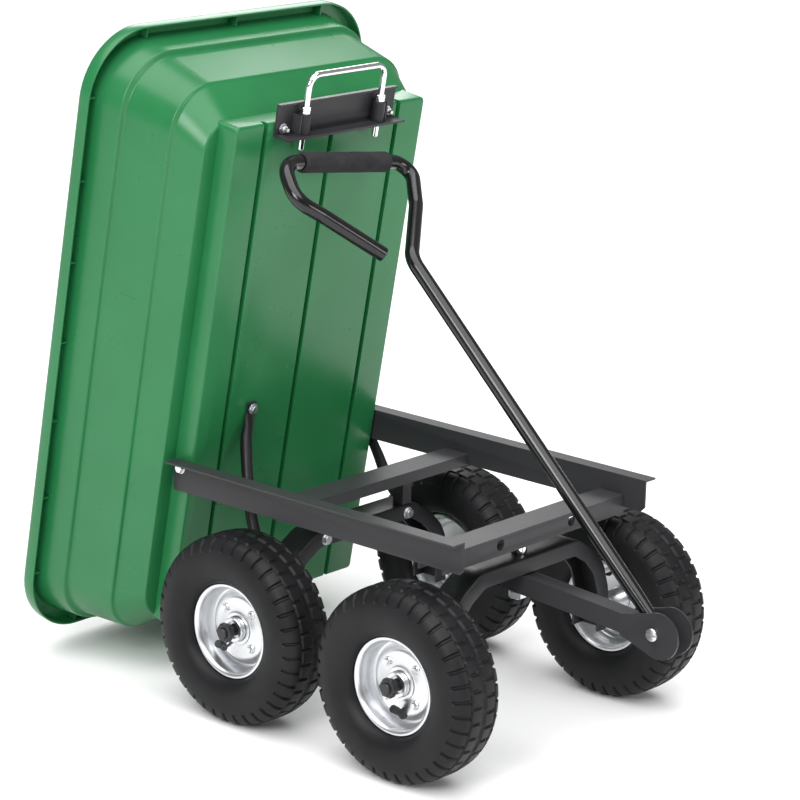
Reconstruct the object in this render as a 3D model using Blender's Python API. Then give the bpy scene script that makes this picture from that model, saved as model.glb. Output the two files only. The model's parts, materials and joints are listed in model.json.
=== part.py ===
"""Garden dump cart, modelled in the dumped position with the front wheels straight ahead.

Metres, +Z up, the tongue points to -Y and the tub dumps to +Y. Every position below is measured
from the middle of the front axle on the ground; the empty "cart" then moves the whole cart so that
the middle of its bounding box stands on the origin. Pieces of the tub are written down as they lie
when the tub is closed, and the empty "tub_hinge" turns them about the pivot bolts.
"""

import math

import bmesh
import bpy
from mathutils import Matrix, Vector

# ---------------------------------------------------------------- driving dimensions
CART_SHIFT_Y = -0.2068
GAP = 0.0003

TRACK_X = 0.2203
AXLE_Z = 0.130
REAR_AXLE_Y = 0.288

RAIL_OUT_X = 0.191
RAIL_THICK = 0.0025
RAIL_TOP_Z = 0.323
RAIL_BOTTOM_Z = 0.279
RAIL_FRONT_Y = -0.0625
RAIL_REAR_Y = 0.451
RAIL_FLANGE = 0.020

PIVOT = Vector((0.0, 0.4366, 0.312))
TUB_DUMPED_DEG = 80.6

TUB_MID_Y = 0.3125
WALL = 0.003
RIM_TOP_Z = 0.513
PLATFORM_HALF_X = 0.1865
PLATFORM_FRONT_Y = -0.0495
PLATFORM_BOTTOM_Z = 0.2975
GROOVE_X = 0.131
GROOVE_HALF_W = 0.00375
GROOVE_DEPTH = 0.010

BRACKET_BOLT_X = 0.103
BRACKET_BOLT_Y = -0.0410
LATCH_PIN_X = 0.0738
LATCH_PIN_Z = 0.284
LATCH_PIN_R = 0.0043
LATCH_TIP_Y = -0.011
LATCH_BAR_Y = -0.113

CROSS_FRONT_Y = -0.028
CROSS_REAR_Y = 0.014
CROSS_TOP_Z = 0.2965
CROSS_BOTTOM_Z = 0.2705

BEAM_HALF_W = 0.022
BEAM_WEB = 0.022
BEAM_THICK = 0.003
FRONT_BEAM_TOP_Z = 0.2515
REAR_BEAM_TOP_Z = 0.239
POST_X = 0.084

KINGPIN_R = 0.0065
TONGUE_HALF = 0.0132
CLEVIS_BOLT = Vector((0.0, -0.2338, 0.2015))
EAR_IN_X = 0.0138
EAR_OUT_X = 0.0173

TUBE_R = 0.010
GRIP_R = 0.014
HANDLE_LEAN_DEG = 45.20
HANDLE_TILT_DEG = 2.54
HANDLE_TWIST_DEG = 5.20


# ---------------------------------------------------------------- scene and materials
def clear_scene():
    for old in list(bpy.data.objects):
        bpy.data.objects.remove(old, do_unlink=True)


def make_material(name, colour, roughness, metallic):
    mat = bpy.data.materials.new(name)
    mat.use_nodes = True
    shader = mat.node_tree.nodes["Principled BSDF"]
    shader.inputs["Base Color"].default_value = (*colour, 1.0)
    shader.inputs["Roughness"].default_value = roughness
    shader.inputs["Metallic"].default_value = metallic
    mat.diffuse_color = (*colour, 1.0)
    return mat


LOOKS = {
    "green_plastic": ((0.035, 0.22, 0.085), 0.38, 0.0),
    "black_steel": ((0.022, 0.022, 0.024), 0.42, 0.0),
    "gloss_black_tube": ((0.012, 0.012, 0.013), 0.22, 0.0),
    "foam": ((0.035, 0.035, 0.038), 0.9, 0.0),
    "tyre_rubber": ((0.018, 0.018, 0.020), 0.6, 0.0),
    "zinc": ((0.72, 0.73, 0.74), 0.32, 1.0),
    "black_cap": ((0.010, 0.010, 0.010), 0.4, 0.0),
}


class Group:
    """An empty that carries pieces; coordinates of its pieces are given from `origin`."""

    def __init__(self, name, origin, parent=None, matrix=None):
        self.origin = Vector(origin)
        self.empty = bpy.data.objects.new(name, None)
        bpy.context.scene.collection.objects.link(self.empty)
        place = self.origin.copy()
        if parent is not None:
            self.empty.parent = parent.empty
            place -= parent.origin
        turn = matrix if matrix is not None else Matrix.Identity(4)
        self.empty.matrix_local = Matrix.Translation(place) @ turn


# ---------------------------------------------------------------- mesh helpers
def finish_mesh(bm, name):
    bmesh.ops.recalc_face_normals(bm, faces=bm.faces)
    mesh = bpy.data.meshes.new(name)
    bm.to_mesh(mesh)
    bm.free()
    return mesh


def place_mesh(name, mesh, group, at, look=None, smooth=None):
    """Make an object of a mesh whose vertices are relative to `at`."""
    obj = bpy.data.objects.new(name, mesh)
    bpy.context.scene.collection.objects.link(obj)
    obj.parent = group.empty
    obj.location = Vector(at) - group.origin
    if look is not None:
        colour, roughness, metallic = LOOKS[look]
        mesh.materials.append(make_material(name + "_" + look, colour, roughness, metallic))
    if smooth is not None:
        mesh.shade_smooth()
        mesh.set_sharp_from_angle(angle=math.radians(smooth))
    return obj


def add_loft(bm, rings, closed_loop=False, caps=True):
    """Skin rings of equally many points; a closed loop joins the last ring to the first."""
    rows = [[bm.verts.new(p) for p in ring] for ring in rings]
    count = len(rows[0])
    pairs = list(zip(rows, rows[1:]))
    if closed_loop:
        pairs.append((rows[-1], rows[0]))
    for low, high in pairs:
        for i in range(count):
            j = (i + 1) % count
            bm.faces.new((low[i], low[j], high[j], high[i]))
    if caps and not closed_loop:
        bm.faces.new(tuple(reversed(rows[0])))
        bm.faces.new(tuple(rows[-1]))


def add_box(bm, low, high):
    corners = [(low[0], low[1]), (high[0], low[1]), (high[0], high[1]), (low[0], high[1])]
    rings = [[(x, y, z) for x, y in corners] for z in (low[2], high[2])]
    add_loft(bm, rings)


def axis_basis(axis):
    """Axis plus two directions that span the plane across it."""
    if axis == "X":
        return Vector((1, 0, 0)), Vector((0, 1, 0)), Vector((0, 0, 1))
    if axis == "Y":
        return Vector((0, 1, 0)), Vector((0, 0, 1)), Vector((1, 0, 0))
    return Vector((0, 0, 1)), Vector((1, 0, 0)), Vector((0, 1, 0))


def circle(axis, along, radius, segments, centre=(0, 0, 0)):
    main, side, up = axis_basis(axis)
    points = []
    for i in range(segments):
        angle = 2 * math.pi * i / segments
        offset = side * math.cos(angle) + up * math.sin(angle)
        points.append(Vector(centre) + main * along + offset * radius)
    return points


def hexagon(axis, along, across, segments, centre=(0, 0, 0)):
    """Points on a hexagon whose corner circle is `across`, with as many points as a bore ring."""
    main, side, up = axis_basis(axis)
    points = []
    for i in range(segments):
        angle = 2 * math.pi * i / segments
        sector = (angle + math.pi / 6) % (math.pi / 3) - math.pi / 6
        radius = across * math.cos(math.pi / 6) / math.cos(abs(sector) - math.pi / 6)
        offset = side * math.cos(angle) + up * math.sin(angle)
        points.append(Vector(centre) + main * along + offset * radius)
    return points


def add_turned(bm, axis, profile, segments, ring=False, centre=(0, 0, 0)):
    """Turn (along, radius) pairs about an axis; a ring's profile is a closed loop."""
    rings = [circle(axis, a, r, segments, centre) for a, r in profile]
    add_loft(bm, rings, closed_loop=ring)


def turned(name, group, at, axis, profile, segments, look, ring=False, smooth=35):
    bm = bmesh.new()
    add_turned(bm, axis, profile, segments, ring)
    return place_mesh(name, finish_mesh(bm, name), group, at, look, smooth)


def outline_solid(name, group, at, axis, outline, low, high, look=None):
    """Extrude an outline in the plane across `axis` from low to high."""
    main, side, up = axis_basis(axis)
    rings = [[side * a + up * b + main * t for a, b in outline] for t in (low, high)]
    bm = bmesh.new()
    add_loft(bm, rings)
    return place_mesh(name, finish_mesh(bm, name), group, at, look)


def sweep(name, group, at, points, radii, segments, look, first_side=(1, 0, 0), smooth=50):
    """Tube through points; radii are (side, other) pairs, and rings are carried along untwisted."""
    points = [Vector(p) for p in points]
    side = Vector(first_side)
    rings = []
    for i, point in enumerate(points):
        before = points[max(i - 1, 0)]
        after = points[min(i + 1, len(points) - 1)]
        main = (after - before).normalized()
        side = (side - main * side.dot(main)).normalized()
        other = main.cross(side)
        side_r, other_r = radii[i]
        ring = []
        for k in range(segments):
            angle = 2 * math.pi * k / segments
            ring.append(point + side * (side_r * math.cos(angle)) + other * (other_r * math.sin(angle)))
        rings.append(ring)
    bm = bmesh.new()
    add_loft(bm, rings)
    return place_mesh(name, finish_mesh(bm, name), group, at, look, smooth)


def rounded_path(points, bend_radius, steps):
    """Replace each inner corner of a polyline by an arc of the given bend radius."""
    points = [Vector(p) for p in points]
    path = [points[0]]
    for before, corner, after in zip(points, points[1:], points[2:]):
        arm_in = (before - corner).normalized()
        arm_out = (after - corner).normalized()
        half = arm_in.angle(arm_out) / 2
        reach = bend_radius / math.tan(half)
        reach = min(reach, (before - corner).length * 0.48, (after - corner).length * 0.48)
        radius = reach * math.tan(half)
        centre = corner + (arm_in + arm_out).normalized() * (radius / math.sin(half))
        start = (corner + arm_in * reach - centre).normalized()
        stop = (corner + arm_out * reach - centre).normalized()
        for k in range(steps + 1):
            path.append(centre + start.slerp(stop, k / steps) * radius)
    path.append(points[-1])
    return path


def cutter(name, bm, group, at):
    obj = place_mesh(name, finish_mesh(bm, name), group, at)
    obj.hide_render = True
    obj.display_type = "WIRE"
    return obj


def apply_boolean(obj, tool, operation="DIFFERENCE"):
    mod = obj.modifiers.new(operation.lower() + "_" + tool.name, "BOOLEAN")
    mod.operation = operation
    mod.solver = "EXACT"
    mod.object = tool


def drill(obj, group, axis, holes, radius, segments=12):
    """Cut round holes, each given as (centre, low, high) along the axis."""
    bm = bmesh.new()
    for centre, low, high in holes:
        add_turned(bm, axis, [(low, radius), (high, radius)], segments, centre=centre)
    apply_boolean(obj, cutter(obj.name + "_drill" + str(len(obj.modifiers)), bm, group, group.origin))


# ---------------------------------------------------------------- tub
def plan_ring(half_x, front_y, corner_r, z, corner_steps=6):
    """Rounded rectangle, mirrored front to rear about the middle of the tub."""
    half_y = TUB_MID_Y - front_y
    points = []
    for sign_x, sign_y, start in ((1, 1, 0), (-1, 1, 90), (-1, -1, 180), (1, -1, 270)):
        centre_x = sign_x * (half_x - corner_r)
        centre_y = TUB_MID_Y + sign_y * (half_y - corner_r)
        for k in range(corner_steps + 1):
            angle = math.radians(start + 90 * k / corner_steps)
            x = centre_x + corner_r * math.cos(angle)
            y = centre_y + corner_r * math.sin(angle)
            points.append(Vector((x, y, z)) - PIVOT)
    return points


# height, half width, front, plan corner radius of the tub's outer skin, floor to rim
TUB_SKIN = (
    (0.3290, 0.2000, -0.0420, 0.040),
    (0.3325, 0.2125, -0.0520, 0.050),
    (0.3740, 0.2222, -0.0836, 0.062),
    (0.3775, 0.2282, -0.0858, 0.066),
    (0.4525, 0.2362, -0.0998, 0.076),
    (0.4565, 0.2432, -0.1072, 0.082),
    (0.4910, 0.2520, -0.1120, 0.086),
)
RIM_OUT = (0.2680, -0.1300, 0.095)
LIP_DROP = 0.022


def rim_ring(inset, z):
    half_x, front_y, corner_r = RIM_OUT
    return plan_ring(half_x - inset, front_y + inset, corner_r - inset, z)


def make_tub(group):
    zero = group.origin
    z, half_x, front_y, corner_r = TUB_SKIN[-1]
    skirt = 0.0024
    rings = [plan_ring(hx, fy, cr, height) for height, hx, fy, cr in TUB_SKIN]
    rings.append(plan_ring(half_x + 0.0015, front_y - 0.0015, corner_r, RIM_TOP_Z - WALL))
    rings.append(rim_ring(skirt + 0.0008, RIM_TOP_Z - WALL))
    rings.append(rim_ring(skirt, RIM_TOP_Z - LIP_DROP))
    rings.append(rim_ring(0.0, RIM_TOP_Z - LIP_DROP))
    rings.append(rim_ring(0.0004, RIM_TOP_Z - 0.0035))
    rings.append(rim_ring(0.0030, RIM_TOP_Z))
    bm = bmesh.new()
    add_loft(bm, rings)
    tub = place_mesh("tub", finish_mesh(bm, "tub"), group, zero, "green_plastic", 28)

    bm = bmesh.new()
    low = Vector((-PLATFORM_HALF_X, PLATFORM_FRONT_Y, PLATFORM_BOTTOM_Z)) - zero
    rear_y = 2 * TUB_MID_Y - PLATFORM_FRONT_Y
    high = Vector((PLATFORM_HALF_X, rear_y, 0.345)) - zero
    add_box(bm, low, high)
    apply_boolean(tub, cutter("tub_platform", bm, group, zero), "UNION")

    rings = [plan_ring(hx - WALL, fy + WALL, cr - WALL, height + WALL) for height, hx, fy, cr in TUB_SKIN]
    inset = WALL - 0.0015
    rings.append(plan_ring(half_x - inset, front_y + inset, corner_r - WALL, RIM_TOP_Z + 0.01))
    bm = bmesh.new()
    add_loft(bm, rings)
    apply_boolean(tub, cutter("tub_cavity", bm, group, zero))

    bm = bmesh.new()
    inner = Vector((WALL, WALL, WALL))
    add_box(bm, low + inner, high - Vector((WALL, WALL, 0.001)))
    pan = cutter("tub_pan", bm, group, zero)
    ridges = bmesh.new()
    grooves = bmesh.new()
    for x in (-GROOVE_X, 0.0, GROOVE_X):
        groove_low = Vector((x - GROOVE_HALF_W, PLATFORM_FRONT_Y - 0.010, PLATFORM_BOTTOM_Z - 0.002))
        groove_high = Vector((x + GROOVE_HALF_W, rear_y + 0.010, PLATFORM_BOTTOM_Z + GROOVE_DEPTH))
        add_box(grooves, groove_low - zero, groove_high - zero)
        add_box(ridges, groove_low - inner - zero, groove_high + inner - zero)
    apply_boolean(pan, cutter("tub_ridges", ridges, group, zero))
    apply_boolean(tub, pan)
    apply_boolean(tub, cutter("tub_grooves", grooves, group, zero))
    sides = [((0, 0, 0), -0.192, -0.178), ((0, 0, 0), 0.178, 0.192)]
    drill(tub, group, "X", sides, 0.0055)
    holes = []
    bolts = ((-BRACKET_BOLT_X, BRACKET_BOLT_Y), (BRACKET_BOLT_X, BRACKET_BOLT_Y), (-0.0855, 0.363))
    for x, y in bolts:
        holes.append(((x, y - zero.y, PLATFORM_BOTTOM_Z - zero.z), -0.004, 0.006))
    drill(tub, group, "Z", holes, 0.0036)


# ---------------------------------------------------------------- tub latch
def make_latch_bracket(group):
    plate_z = PLATFORM_BOTTOM_Z - GAP
    outline = (
        (plate_z - 0.0058, -0.0750), (plate_z, -0.0750), (plate_z, -0.0305), (plate_z - 0.0272, -0.0305),
        (plate_z - 0.0272, -0.0335), (plate_z - 0.0030, -0.0335), (plate_z - 0.0030, -0.0725),
        (plate_z - 0.0058, -0.0725),
    )
    outline = [(y - PIVOT.y, z - PIVOT.z) for z, y in outline]
    bracket = outline_solid("latch_bracket", group, PIVOT, "X", outline, -0.116, 0.116, "black_steel")
    pins = []
    bolts = []
    for side in (-1, 1):
        pins.append(((side * LATCH_PIN_X, 0, LATCH_PIN_Z - PIVOT.z), -0.040 - PIVOT.y, -0.025 - PIVOT.y))
        bolts.append(((side * BRACKET_BOLT_X, BRACKET_BOLT_Y - PIVOT.y, plate_z - PIVOT.z), -0.005, 0.002))
    drill(bracket, group, "Y", pins, 0.0056)
    drill(bracket, group, "Z", bolts, 0.0036)
    for name, side in (("left", -1), ("right", 1)):
        at = (side * LATCH_PIN_X, 0, LATCH_PIN_Z)
        loop = [(-0.0610, 0.0085), (-0.0338, 0.0085), (-0.0338, 0.0054), (-0.0610, 0.0054)]
        turned("latch_sleeve_" + name, group, at, "Y", loop, 12, "black_steel", ring=True)
        at = (side * BRACKET_BOLT_X, BRACKET_BOLT_Y, plate_z - 0.003 - GAP)
        bolt = [(-0.0060, 0.0050), (-0.0015, 0.0056), (-0.0015, 0.0070), (0.0, 0.0070), (0.0, 0.0030),
                (0.0110, 0.0030)]
        turned("bracket_bolt_" + name, group, at, "Z", bolt, 12, "zinc")


def make_latch_bail(group):
    tip = (LATCH_TIP_Y, LATCH_PIN_Z)
    corners = [(-LATCH_PIN_X, tip[0]), (-LATCH_PIN_X, LATCH_BAR_Y), (LATCH_PIN_X, LATCH_BAR_Y),
               (LATCH_PIN_X, tip[0])]
    path = rounded_path([(x, y - PIVOT.y, LATCH_PIN_Z - PIVOT.z) for x, y in corners], 0.016, 5)
    radii = [(LATCH_PIN_R, LATCH_PIN_R)] * len(path)
    sweep("latch_bail", group, PIVOT, path, radii, 10, "zinc", first_side=(0, 0, 1))
    for name, side in (("left", -1), ("right", 1)):
        at = (side * LATCH_PIN_X, 0, LATCH_PIN_Z)
        loop = [(-0.0700, 0.0068), (-0.0613, 0.0068), (-0.0613, 0.0047), (-0.0700, 0.0047)]
        turned("latch_collar_" + name, group, at, "Y", loop, 12, "zinc", ring=True)


def make_stop_strut(group):
    """Bent tube on the underside of the tub, with a flattened upper end for its bolt."""
    stations = (
        ((-0.0850, 0.3545, 0.2945), 0.0090, 0.0025), ((-0.0862, 0.3720, 0.2945), 0.0092, 0.0025),
        ((-0.0930, 0.3860, 0.2880), 0.0086, 0.0055), ((-0.1033, 0.4010, 0.2800), 0.0082, 0.0082),
        ((-0.1190, 0.4410, 0.2545), 0.0082, 0.0082), ((-0.1300, 0.4818, 0.2299), 0.0082, 0.0082),
        ((-0.1360, 0.5070, 0.2115), 0.0082, 0.0082), ((-0.1395, 0.5313, 0.1984), 0.0082, 0.0082),
        ((-0.1415, 0.5500, 0.1887), 0.0082, 0.0082),
    )
    points = [Vector(place) - PIVOT for place, wide, thick in stations]
    radii = [(wide, thick) for place, wide, thick in stations]
    strut = sweep("stop_strut", group, PIVOT, points, radii, 12, "black_steel")
    at = Vector((-0.0855, 0.363, 0.2920 - GAP))
    drill(strut, group, "Z", [(at - PIVOT, -0.010, 0.010)], 0.0036)
    bolt = [(-0.0050, 0.0060), (0.0, 0.0065), (0.0, 0.0030), (0.0140, 0.0030)]
    turned("stop_strut_bolt", group, at, "Z", bolt, 12, "zinc")


# ---------------------------------------------------------------- fixed frame
def make_rail(name, side, group):
    """Angle rail: an upright web with a flange turned outward along its top."""
    nose = 0.006
    tail = 0.005
    outline = (
        (RAIL_FRONT_Y + nose, RAIL_BOTTOM_Z), (RAIL_REAR_Y, RAIL_BOTTOM_Z),
        (RAIL_REAR_Y, RAIL_TOP_Z - tail), (RAIL_REAR_Y - tail, RAIL_TOP_Z),
        (RAIL_FRONT_Y, RAIL_TOP_Z), (RAIL_FRONT_Y, RAIL_BOTTOM_Z + nose),
    )
    inner = side * (RAIL_OUT_X - RAIL_THICK)
    outer = side * (RAIL_OUT_X + RAIL_FLANGE)
    rail = outline_solid(name, group, (0, 0, 0), "X", outline, inner, outer, "black_steel")
    bm = bmesh.new()
    xs = sorted((side * RAIL_OUT_X, outer + side * 0.005))
    add_box(bm, (xs[0], RAIL_FRONT_Y - 0.01, RAIL_BOTTOM_Z - 0.01),
            (xs[1], RAIL_REAR_Y + 0.01, RAIL_TOP_Z - RAIL_THICK))
    apply_boolean(rail, cutter(name + "_relief", bm, group, (0, 0, 0)))
    xs = sorted((side * 0.18, side * 0.195))
    drill(rail, group, "X", [((0, PIVOT.y, PIVOT.z), xs[0], xs[1])], 0.0055)
    under_head = side * (RAIL_OUT_X + GAP)
    bolt = [(side * 0.1965, 0.0070), (under_head, 0.0080), (under_head, 0.0050), (side * 0.1725, 0.0050)]
    place = (0, PIVOT.y, PIVOT.z)
    word = name.split("_")[1]
    turned("pivot_bolt_" + word, group, place, "X", bolt, 12, "zinc")
    bm = bmesh.new()
    ends = (side * 0.1755, side * 0.1825)
    rings = [hexagon("X", ends[0], 0.0092, 12), hexagon("X", ends[1], 0.0092, 12),
             circle("X", ends[1], 0.0054, 12), circle("X", ends[0], 0.0054, 12)]
    add_loft(bm, rings, closed_loop=True)
    place_mesh("pivot_nut_" + word, finish_mesh(bm, "pivot_nut"), group, place, "zinc")


def make_crossmembers(group):
    half_x = RAIL_OUT_X - RAIL_THICK - GAP
    t = BEAM_THICK
    outline = (
        (CROSS_FRONT_Y, CROSS_BOTTOM_Z), (CROSS_FRONT_Y + t, CROSS_BOTTOM_Z),
        (CROSS_FRONT_Y + t, CROSS_TOP_Z - t), (CROSS_REAR_Y - t, CROSS_TOP_Z - t),
        (CROSS_REAR_Y - t, CROSS_BOTTOM_Z), (CROSS_REAR_Y, CROSS_BOTTOM_Z),
        (CROSS_REAR_Y, CROSS_TOP_Z), (CROSS_FRONT_Y, CROSS_TOP_Z),
    )
    origin = (0, 0, 0)
    front = outline_solid("front_crossmember", group, origin, "X", outline, -half_x, half_x, "black_steel")
    holes = [((side * 0.074, 0, 0.2850), CROSS_FRONT_Y - 0.004, CROSS_FRONT_Y + 0.008) for side in (-1, 1)]
    drill(front, group, "Y", holes, 0.0078)
    outline = (
        (0.2450, 0.2790), (0.2475, 0.2790), (0.2475, 0.2925), (0.2880, 0.2925), (0.2880, 0.2950),
        (0.2450, 0.2950),
    )
    outline_solid("mid_crossmember", group, origin, "X", outline, -half_x, half_x, "black_steel")


def beam_path(top_z):
    """Top line of an axle arch, from the middle to one end."""
    shoulder = top_z - FRONT_BEAM_TOP_Z
    line = [(0.0, top_z), (0.100, top_z), (0.134, 0.2310 + shoulder), (0.1600, 0.2035 + shoulder * 0.8),
            (0.1725, 0.166), (0.1725, 0.108)]
    corner_points = [Vector((x, 0, z)) for x, z in line]
    return rounded_path(corner_points, 0.045, 3)[1:]


def make_axle_beam(name, centre_y, top_z, group, look="black_steel"):
    """Channel, open downward, that arches over and runs down to the two spindles."""
    half = beam_path(top_z)
    path = [Vector((-p.x, 0, p.z)) for p in reversed(half)] + half
    section = ((-BEAM_HALF_W, 0.0), (BEAM_HALF_W, 0.0), (BEAM_HALF_W, BEAM_WEB),
               (BEAM_HALF_W - BEAM_THICK, BEAM_WEB), (BEAM_HALF_W - BEAM_THICK, BEAM_THICK),
               (-BEAM_HALF_W + BEAM_THICK, BEAM_THICK), (-BEAM_HALF_W + BEAM_THICK, BEAM_WEB),
               (-BEAM_HALF_W, BEAM_WEB))
    rings = []
    for i, point in enumerate(path):
        into = (point - path[max(i - 1, 0)]).normalized()
        out = (path[min(i + 1, len(path) - 1)] - point).normalized()
        into = into if into.length > 0.5 else out
        out = out if out.length > 0.5 else into
        main = (into + out).normalized()
        normal = Vector((main.z, 0, -main.x))
        stretch = 1.0 / max(main.dot(out), 0.5)
        rings.append([point + normal * (depth * stretch) + Vector((0, y, 0)) for y, depth in section])
    bm = bmesh.new()
    add_loft(bm, rings)
    return place_mesh(name, finish_mesh(bm, name), group, (0, centre_y, 0), look, 30)


def make_rear_axle(group):
    beam = make_axle_beam("rear_axle_beam", REAR_AXLE_Y, REAR_BEAM_TOP_Z, group)
    holes = [((side * POST_X, 0, 0.2265), REAR_AXLE_Y - 0.030, REAR_AXLE_Y + 0.030) for side in (-1, 1)]
    drill(beam, group, "Y", holes, 0.0046)
    for name, side in (("left", -1), ("right", 1)):
        bm = bmesh.new()
        add_box(bm, (-0.009, -0.009, REAR_BEAM_TOP_Z + GAP), (0.009, 0.009, 0.2925 - GAP))
        at = (side * POST_X, REAR_AXLE_Y - 0.011, 0)
        place_mesh("rear_axle_post_" + name, finish_mesh(bm, name), group, at, "black_steel")
        front = REAR_AXLE_Y - BEAM_HALF_W - GAP
        bolt = [(front - 0.0050, 0.0066), (front, 0.0072), (front, 0.0040), (REAR_AXLE_Y + 0.028, 0.0040)]
        turned("rear_axle_bolt_" + name, group, (side * POST_X, 0, 0.2265), "Y", bolt, 12, "zinc")
    stations = (
        ((0.1955, 0.4405, 0.2880), 0.0036, 0.0090), ((0.1955, 0.4330, 0.2740), 0.0036, 0.0090),
        ((0.1890, 0.4150, 0.2575), 0.0066, 0.0086), ((0.1765, 0.3900, 0.2390), 0.0083, 0.0083),
        ((0.1665, 0.3600, 0.2170), 0.0083, 0.0083), ((0.1625, 0.3320, 0.1960), 0.0083, 0.0083),
        ((0.1615, 0.3205, 0.1870), 0.0083, 0.0083),
    )
    points = [place for place, wide, thick in stations]
    radii = [(wide, thick) for place, wide, thick in stations]
    sweep("rear_brace_right", group, (0, 0, 0), points, radii, 12, "black_steel")


def make_kingpin(group):
    """Pin welded under the front crossmember, with a loose collar that carries it on the axle."""
    upper = CROSS_TOP_Z - BEAM_THICK - GAP
    turned("kingpin", group, (0, 0, 0), "Z", [(0.1880, KINGPIN_R), (upper, KINGPIN_R)], 12, "zinc")
    lower = FRONT_BEAM_TOP_Z + GAP
    collar = [(lower, 0.0102), (upper, 0.0102), (upper, 0.0072), (lower, 0.0072)]
    turned("kingpin_collar", group, (0, 0, 0), "Z", collar, 12, "zinc", ring=True)
    bm = bmesh.new()
    rings = [hexagon("Z", 0.1900, 0.0118, 12), hexagon("Z", 0.1985, 0.0118, 12),
             circle("Z", 0.1985, 0.0070, 12), circle("Z", 0.1900, 0.0070, 12)]
    add_loft(bm, rings, closed_loop=True)
    place_mesh("kingpin_nut", finish_mesh(bm, "kingpin_nut"), group, (0, 0, 0), "zinc")


# ---------------------------------------------------------------- steered front axle and tongue
def make_front_axle(group):
    beam = make_axle_beam("front_axle_beam", 0.0, FRONT_BEAM_TOP_Z, group)
    drill(beam, group, "Z", [((0, 0, FRONT_BEAM_TOP_Z), -0.008, 0.004)], KINGPIN_R + 0.0008)
    rear = Vector((0, 0.020, 0.2157))
    front = Vector((0, CLEVIS_BOLT.y + 0.0282, CLEVIS_BOLT.z - 0.0009))
    wall = 0.002
    half = TONGUE_HALF
    square = ((-1, -1), (1, -1), (1, 1), (-1, 1))
    rings = []
    for place, inset in ((rear, 0.0), (front, 0.0), (front, wall), (rear, wall)):
        size = half - inset
        rings.append([place + Vector((x * size, 0, z * size)) for x, z in square])
    bm = bmesh.new()
    add_loft(bm, rings, closed_loop=True)
    tongue = place_mesh("tongue", finish_mesh(bm, "tongue"), group, (0, 0, 0), "black_steel")
    drill(tongue, group, "Z", [((0, 0, 0), 0.190, 0.240)], KINGPIN_R + 0.0008)


def make_clevis(group):
    """Two round ears, joined by a plate that is welded to the end of the tongue."""
    ear_r = 0.0310
    middle = (-0.0080, -0.0010)
    outline = []
    for k in range(17):
        angle = math.radians(62 + (298 - 62) * k / 16)
        outline.append((middle[0] + ear_r * math.cos(angle), middle[1] + ear_r * math.sin(angle)))
    outline += [(0.0520, -0.0130), (0.0520, 0.0150)]
    clevis = outline_solid("clevis", group, CLEVIS_BOLT, "X", outline, -EAR_OUT_X, EAR_OUT_X, "black_steel")
    web_front = 0.0240
    web_rear = 0.0277
    slot = [(-0.080, -0.050), (web_front, -0.050), (web_front, 0.0060), (web_rear, 0.0060),
            (web_rear, -0.050), (0.090, -0.050), (0.090, 0.050), (-0.080, 0.050)]
    tool = outline_solid("clevis_slot", group, CLEVIS_BOLT, "X", slot, -EAR_IN_X, EAR_IN_X)
    tool.hide_render = True
    tool.display_type = "WIRE"
    apply_boolean(clevis, tool)
    drill(clevis, group, "X", [(CLEVIS_BOLT, -0.03, 0.03)], 0.0047)
    bolt = [(-EAR_OUT_X - 0.0048, 0.0070), (-EAR_OUT_X - 0.0030, 0.0085), (-EAR_OUT_X - GAP, 0.0085),
            (-EAR_OUT_X - GAP, 0.0042), (EAR_OUT_X + 0.0090, 0.0042)]
    turned("clevis_bolt", group, CLEVIS_BOLT, "X", bolt, 12, "zinc")
    bm = bmesh.new()
    ends = (EAR_OUT_X + GAP, EAR_OUT_X + 0.0070)
    rings = [hexagon("X", ends[0], 0.0080, 12), hexagon("X", ends[1], 0.0080, 12),
             circle("X", ends[1], 0.0046, 12), circle("X", ends[0], 0.0046, 12)]
    add_loft(bm, rings, closed_loop=True)
    place_mesh("clevis_nut", finish_mesh(bm, "clevis_nut"), group, CLEVIS_BOLT, "zinc")


# handle centre line, across and along the shaft from the clevis bolt
HANDLE_LINE = ((0.0, -0.0119), (0.0005, 0.1302), (0.0050, 0.5893), (0.0860, 0.6649), (0.1232, 0.7136),
               (0.1083, 0.7359), (-0.1193, 0.7653), (-0.1421, 0.7076), (-0.1113, 0.6783), (-0.0443, 0.6043))
GRIP_NEAR = Vector((-0.0841, 0.7607, 0.0))
GRIP_FAR = Vector((0.0841, 0.7390, 0.0))


def make_handle(group, bolt_group):
    points = [Vector((u, v, 0)) for u, v in HANDLE_LINE]
    path = [points[0], Vector((0.0, 0.030, 0))] + rounded_path(points[1:], 0.034, 4)
    radii = [(TUBE_R, TUBE_R)] * len(path)
    radii[0] = (TUBE_R - 0.0015, TUBE_R - 0.0010)
    radii[1] = (TUBE_R - 0.0015, TUBE_R - 0.0010)
    tube = sweep("handle_tube", group, (0, 0, 0), path, radii, 12, "gloss_black_tube", smooth=40)
    drill(tube, bolt_group, "X", [(CLEVIS_BOLT, -0.02, 0.02)], 0.0048)
    grip_line = GRIP_FAR - GRIP_NEAR
    half = grip_line.length / 2
    bore = TUBE_R + 0.0008
    round_off = 0.0015
    end_r = GRIP_R - 0.001
    loop = [(-half, end_r), (-half + round_off, GRIP_R), (half - round_off, GRIP_R), (half, end_r),
            (half, bore), (-half, bore)]
    bm = bmesh.new()
    add_turned(bm, "X", loop, 16, ring=True)
    grip = place_mesh("handle_grip", finish_mesh(bm, "handle_grip"), group, (0, 0, 0), "foam", 35)
    grip.location = (GRIP_NEAR + GRIP_FAR) / 2
    grip.rotation_euler = (0, 0, math.atan2(grip_line.y, grip_line.x))


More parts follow.
